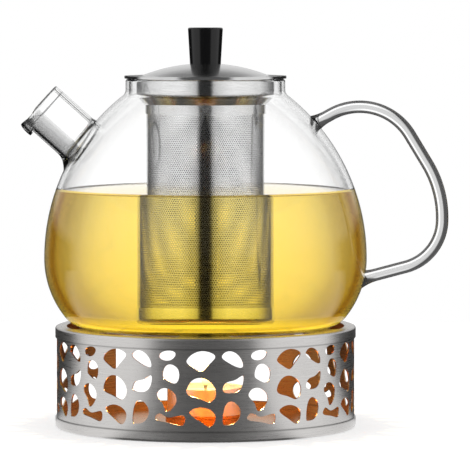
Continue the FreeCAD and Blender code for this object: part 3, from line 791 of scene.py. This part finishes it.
# Painted glow at the heel: emission low in the tea, on faces where light enters
TEA_PAINTED_GLOW = (1.0, 0.68, 0.04, 1)
TEA_PAINTED_GLOW_HEIGHTS = (0.0595, 0.054)
TEA_PAINTED_GLOW_LEVEL = 0.65
TEA_PAINTED_GLOW_TILT = -0.9

depth = GLASS_WALL - TEA_WETTING
brim = TEA_LEVEL + TEA_CLIMB
side = [(radius, height) for radius, height in bowl_side(depth) if height < brim - TEA_SIDE_GAP]
top_turn = math.asin((brim - BELLY_HEIGHT) / (SHOULDER_ARC - depth))
edge = BELLY_RADIUS - SHOULDER_ARC + (SHOULDER_ARC - depth) * math.cos(top_turn)
inward = [step / TEA_CLIMB_STEPS for step in range(TEA_CLIMB_STEPS + 1)]
climb = [(edge - TEA_CLIMB_WIDTH * share, TEA_LEVEL + TEA_CLIMB * (1 - share) ** 3) for share in inward]
tea = outward_faces(lathe("tea", kick(depth) + side + climb + [(0, TEA_LEVEL)], GLASS_SIDES))
golden_tea, tree, shader, facing = see_through("golden_tea", TEA_INDEX, TEA_COLOUR, TEA_DENSITY)
tint = ramp_of(tree, facing, [(steep, (*(share ** 2 for share in colour), 1)) for steep, colour in TEA_PAINTED_EDGE])
height = parts_of(tree, object_place(tree))["Z"]
# Painted shading: deeper gold below, paler above
painted_deep = mixed(tree, ranged(tree, height, *TEA_PAINTED_PALE_HEIGHTS), TEA_PAINTED_DEEP, WHITE)
tint = mixed(tree, 1, tint, painted_deep, "MULTIPLY")
surface = add_node(tree, "ShaderNodeNewGeometry").outputs
upright = parts_of(tree, surface["Normal"])["Z"]
# Painted light: the tea's heel emits as if lit by the flame below
painted_glow = ranged(tree, height, *TEA_PAINTED_GLOW_HEIGHTS, high=TEA_PAINTED_GLOW_LEVEL)
painted_glow = math_node(tree, "MULTIPLY", painted_glow, math_node(tree, "GREATER_THAN", upright, TEA_PAINTED_GLOW_TILT))
painted_glow = math_node(tree, "MULTIPLY", painted_glow, math_node(tree, "SUBTRACT", 1, surface["Backfacing"]))
set_inputs(tree, shader, {
    "Base Color": mixed(tree, surface["Backfacing"], tint, WHITE),
    "Emission Color": TEA_PAINTED_GLOW, "Emission Strength": painted_glow,
})
tea.data.materials.append(golden_tea)
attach(tea, "pot")


# The infuser: a spun collar that hangs on the glass lip, a rolled sleeve of perforated sheet and a pressed
# base, all thin stainless steel. The sleeve's fine holes stand in staggered rows between plain margins, and
# its welded seam at the back is plain.
INFUSER_STEEL = ((0.60, 0.60, 0.60, 1), (0.68, 0.68, 0.68, 1))
# The sleeve's inner side: tea stain and painted shade, near black
TEA_STAIN_AND_SHADE = (0.06, 0.045, 0.03, 1)
COLLAR_ROUGH = (0.1, 0.16)
COLLAR_ANISOTROPY = 0.2
SLEEVE_ROUGH = (0.12, 0.17)
SLEEVE_ANISOTROPY = 0
SLEEVE_RADIUS = 29.5
SLEEVE_BOTTOM = 60.5
SLEEVE_TOP = 160.4
SLEEVE_MARGIN = 4.6
SLEEVE_SEAM = 9.0
HOLE_PITCH = 1.085
HOLE_SHARE = 0.47
ROW_SHARE = math.sqrt(3) / 2
WELD_REACH = 0.00002
# Painted light: the base's steel is much lighter than the sleeve's, so its band reads bright through the tea
BASE_STEEL_PAINTED_LIGHT = ((0.90, 0.90, 0.89, 1), (0.96, 0.96, 0.95, 1))
BASE_BOTTOM = 58.4
BASE_RADIUS = 30.1
BASE_TOP = 64.4
BASE_EDGE = 2.0
BASE_SHEET = 0.5
BASE_NET_RADIUS = 25.5
BASE_LAP = 1.2


def compared(tree, first, operation, second):
    """Whether one number is above or below another."""
    return add_node(tree, "FunctionNodeCompare", {0: first, 1: second}, operation=operation).outputs[0]


def without(tree, sheet, selection):
    """The sheet without the selected faces."""
    return add_node(tree, "GeometryNodeDeleteGeometry", {"Geometry": sheet, "Selection": selection},
                    domain="FACE").outputs[0]


def perforated_tree(name, finish, rolled):
    """Geometry nodes that cut staggered holes in a sheet, then roll it into a sleeve or trim it to a disc."""
    tree = bpy.data.node_groups.new(name, "GeometryNodeTree")
    face = tree.interface
    face.new_socket("Geometry", in_out="OUTPUT", socket_type="NodeSocketGeometry")
    for label, kind in (("Columns", "Int"), ("Rows", "Int"), ("Pitch", "Float"), ("Hole share", "Float"),
                        ("Radius", "Float"), ("Height", "Float"), ("Net width", "Float")):
        face.new_socket(label, in_out="INPUT", socket_type=f"NodeSocket{kind}")
    given = add_node(tree, "NodeGroupInput").outputs
    row_step = math_node(tree, "MULTIPLY", given["Pitch"], ROW_SHARE)
    tall = math_node(tree, "MULTIPLY", math_node(tree, "ADD", given["Rows"], 1), row_step)
    sheet = add_node(tree, "GeometryNodeMeshGrid", {
        "Size X": math_node(tree, "MULTIPLY", math_node(tree, "ADD", given["Columns"], 1), given["Pitch"]),
        "Size Y": tall,
        "Vertices X": math_node(tree, "ADD", given["Columns"], 2),
        "Vertices Y": math_node(tree, "ADD", given["Rows"], 2),
    }).outputs["Mesh"]
    position = add_node(tree, "GeometryNodeInputPosition").outputs[0]
    place = parts_of(tree, position)
    row = math_node(tree, "DIVIDE", math_node(tree, "MULTIPLY_ADD", tall, 0.5, place["Y"]), row_step)
    odd = math_node(tree, "MODULO", math_node(tree, "ROUND", row), 2)
    shift = math_node(tree, "MULTIPLY", math_node(tree, "MULTIPLY", odd, given["Pitch"]), 0.5)
    stagger = add_node(tree, "ShaderNodeCombineXYZ", {"X": shift}).outputs[0]
    sheet = add_node(tree, "GeometryNodeSetPosition", {"Geometry": sheet, "Offset": stagger}).outputs[0]
    sheet = add_node(tree, "GeometryNodeTriangulate", {"Mesh": sheet},
                     quad_method="SHORTEST_DIAGONAL").outputs[0]
    sheet = add_node(tree, "GeometryNodeDualMesh", {"Mesh": sheet}).outputs[0]
    if not rolled:
        outside = compared(tree, length_of(tree, position), "GREATER_THAN", given["Radius"])
        sheet = without(tree, sheet, outside)
    half_net = math_node(tree, "MULTIPLY", given["Net width"], 0.5)
    punched = compared(tree, math_node(tree, "ABSOLUTE", place["X"]), "LESS_THAN", half_net)
    punch = add_node(tree, "GeometryNodeExtrudeMesh",
                     {"Mesh": sheet, "Selection": punched, "Offset Scale": 0.0, "Individual": True},
                     mode="FACES").outputs
    sheet = add_node(tree, "GeometryNodeScaleElements", {
        "Geometry": punch["Mesh"], "Selection": punch["Top"], "Scale": given["Hole share"],
    }).outputs[0]
    sheet = without(tree, sheet, punch["Top"])
    moved = {"X": place["X"], "Y": place["Y"], "Z": given["Height"]}
    if rolled:
        angle = math_node(tree, "DIVIDE", place["X"], given["Radius"])
        forward = math_node(tree, "MULTIPLY", given["Radius"], -1)
        moved = {
            "X": math_node(tree, "MULTIPLY", math_node(tree, "SINE", angle), given["Radius"]),
            "Y": math_node(tree, "MULTIPLY", math_node(tree, "COSINE", angle), forward),
            "Z": math_node(tree, "ADD", place["Y"], given["Height"]),
        }
    spot = add_node(tree, "ShaderNodeCombineXYZ", moved).outputs[0]
    sheet = add_node(tree, "GeometryNodeSetPosition", {"Geometry": sheet, "Position": spot}).outputs[0]
    sheet = add_node(tree, "GeometryNodeMergeByDistance",
                     {"Geometry": sheet, "Distance": WELD_REACH}).outputs[0]
    sheet = add_node(tree, "GeometryNodeSetShadeSmooth", {"Geometry": sheet}).outputs[0]
    sheet = add_node(tree, "GeometryNodeRealizeInstances", {"Geometry": sheet}).outputs[0]
    sheet = add_node(tree, "GeometryNodeSetMaterial", {"Geometry": sheet, "Material": finish}).outputs[0]
    add_node(tree, "NodeGroupOutput", {"Geometry": sheet})
    return tree


def made_by_nodes(name, tree, sizes):
    """The plain mesh object that a node tree gives at these sizes."""
    made = object_from(name, [], [])
    modifier = made.modifiers.new(name, "NODES")
    modifier.node_group = tree
    for socket in tree.interface.items_tree:
        if socket.in_out == "INPUT":
            modifier[socket.identifier] = sizes[socket.name]
    plain_mesh(made)
    return made


def band(profile, sides):
    """An open strip of revolution through (radius, height) points."""
    vertices = [point for radius, height in profile for point in ring(radius, height, sides)]
    return object_from("band", vertices, strips(len(profile), sides))


def welded(target, *bands):
    """Adds the bands' meshes to the target's own."""
    work = bmesh.new()
    work.from_mesh(target.data)
    for strip in bands:
        work.from_mesh(strip.data)
        bpy.data.objects.remove(strip)
    work.to_mesh(target.data)
    work.free()


collar_steel = brushed_steel("collar_spun_steel", INFUSER_STEEL, COLLAR_ROUGH, COLLAR_ANISOTROPY)
dress(collar_steel, "infuser_collar")

sleeve_steel = brushed_steel("sleeve_perforated_steel", INFUSER_STEEL, SLEEVE_ROUGH, SLEEVE_ANISOTROPY)
tree = sleeve_steel.node_tree
shader = tree.nodes["Principled BSDF"]
# Tea stain and painted shade on the inner side of the sleeve
stained_and_shaded = add_node(tree, "ShaderNodeNewGeometry").outputs["Backfacing"]
brushed = shader.inputs["Base Color"].links[0].from_socket
set_inputs(tree, shader, {"Base Color": mixed(tree, stained_and_shaded, brushed, TEA_STAIN_AND_SHADE)})
columns = round(math.tau * SLEEVE_RADIUS / HOLE_PITCH)
pitch = math.tau * SLEEVE_RADIUS / columns
field = SLEEVE_TOP - SLEEVE_BOTTOM - 2 * SLEEVE_MARGIN
rows = math.ceil(field / (pitch * ROW_SHARE)) + 1
sleeve_holes = perforated_tree("sleeve_holes", sleeve_steel, rolled=True)
sleeve = made_by_nodes("infuser_perforated_sleeve", sleeve_holes, {
    "Columns": columns, "Rows": rows, "Pitch": pitch * MM, "Hole share": HOLE_SHARE,
    "Radius": SLEEVE_RADIUS * MM, "Height": (SLEEVE_TOP + SLEEVE_BOTTOM) / 2 * MM,
    "Net width": (math.tau * SLEEVE_RADIUS - SLEEVE_SEAM) * MM,
})
welded(
    sleeve,
    band([(SLEEVE_RADIUS, SLEEVE_BOTTOM), (SLEEVE_RADIUS, SLEEVE_BOTTOM + SLEEVE_MARGIN)], GLASS_SIDES),
    band([(SLEEVE_RADIUS, SLEEVE_TOP - SLEEVE_MARGIN), (SLEEVE_RADIUS, SLEEVE_TOP)], GLASS_SIDES),
)
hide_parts("infuser_sleeve")
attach(sleeve, "infuser")

base_steel = brushed_steel("base_pressed_steel", BASE_STEEL_PAINTED_LIGHT, COLLAR_ROUGH, COLLAR_ANISOTROPY)
net_count = math.ceil(2 * BASE_NET_RADIUS / HOLE_PITCH) + 2
base_holes = perforated_tree("base_holes", base_steel, rolled=False)
base = made_by_nodes("infuser_perforated_base", base_holes, {
    "Columns": net_count, "Rows": round(net_count / ROW_SHARE), "Pitch": HOLE_PITCH * MM,
    "Hole share": HOLE_SHARE, "Radius": BASE_NET_RADIUS * MM, "Height": (BASE_BOTTOM + BASE_SHEET / 2) * MM,
    "Net width": 2 * BASE_RADIUS * MM,
})
corner = (BASE_RADIUS - BASE_EDGE, BASE_BOTTOM + BASE_EDGE)
lap = BASE_NET_RADIUS - BASE_LAP
cap_profile = (
    [(lap, BASE_BOTTOM)] + arc_points(corner, BASE_EDGE, -90, 0)
    + [(BASE_RADIUS, BASE_TOP), (BASE_RADIUS - BASE_SHEET, BASE_TOP)]
    + arc_points(corner, BASE_EDGE - BASE_SHEET, 0, -90) + [(lap, BASE_BOTTOM + BASE_SHEET)]
)
welded(base, outward_faces(band(cap_profile, GLASS_SIDES)))
base.data.set_sharp_from_angle(angle=SHARP_ANGLE)
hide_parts("infuser_base")
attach(base, "infuser")


# The lid: a spun steel dome with a locating skirt, and a turned black plastic knob held from below by a screw
# and washer that bite into a brass insert.
LID_STEEL = ((0.58, 0.58, 0.58, 1), (0.66, 0.66, 0.66, 1))
LID_ROUGH = (0.11, 0.16)
LID_ANISOTROPY = 0.5
INSERT_BRASS = ((0.72, 0.52, 0.22, 1), (0.80, 0.60, 0.28, 1))
SCREW_ROUGH = (0.18, 0.26)
SCREW_ANISOTROPY = 0.2
KNOB_BLACK = (0.003, 0.003, 0.0033, 1)
KNOB_ROUGH = (0.1, 0.18)
KNOB_GLOSS = 0.35
KNOB_GRAIN = 900
KNOB_GRAIN_DETAIL = 2
KNOB_BUMP = 0.1
KNOB_GRAIN_DEPTH = 0.00001

dress(brushed_steel("lid_spun_steel", LID_STEEL, LID_ROUGH, LID_ANISOTROPY), "lid_cover", "lid_skirt")
dress(brushed_steel("insert_brass", INSERT_BRASS, SCREW_ROUGH, SCREW_ANISOTROPY), "knob_insert")
dress(brushed_steel("screw_steel", INFUSER_STEEL, SCREW_ROUGH, SCREW_ANISOTROPY), "knob_washer", "knob_screw")

black_plastic, tree, shader = finish_of("black_knob_plastic")
grain = add_node(tree, "ShaderNodeTexNoise", {
    "Vector": object_place(tree), "Scale": KNOB_GRAIN, "Detail": KNOB_GRAIN_DETAIL,
}).outputs[0]
bump = add_node(tree, "ShaderNodeBump",
                {"Strength": KNOB_BUMP, "Distance": KNOB_GRAIN_DEPTH, "Height": grain})
set_inputs(tree, shader, {
    "Base Color": KNOB_BLACK, "Roughness": ranged(tree, grain, 0, 1, *KNOB_ROUGH),
    "Normal": bump.outputs[0], "Specular IOR Level": KNOB_GLOSS,
})
dress(black_plastic, "lid_knob")
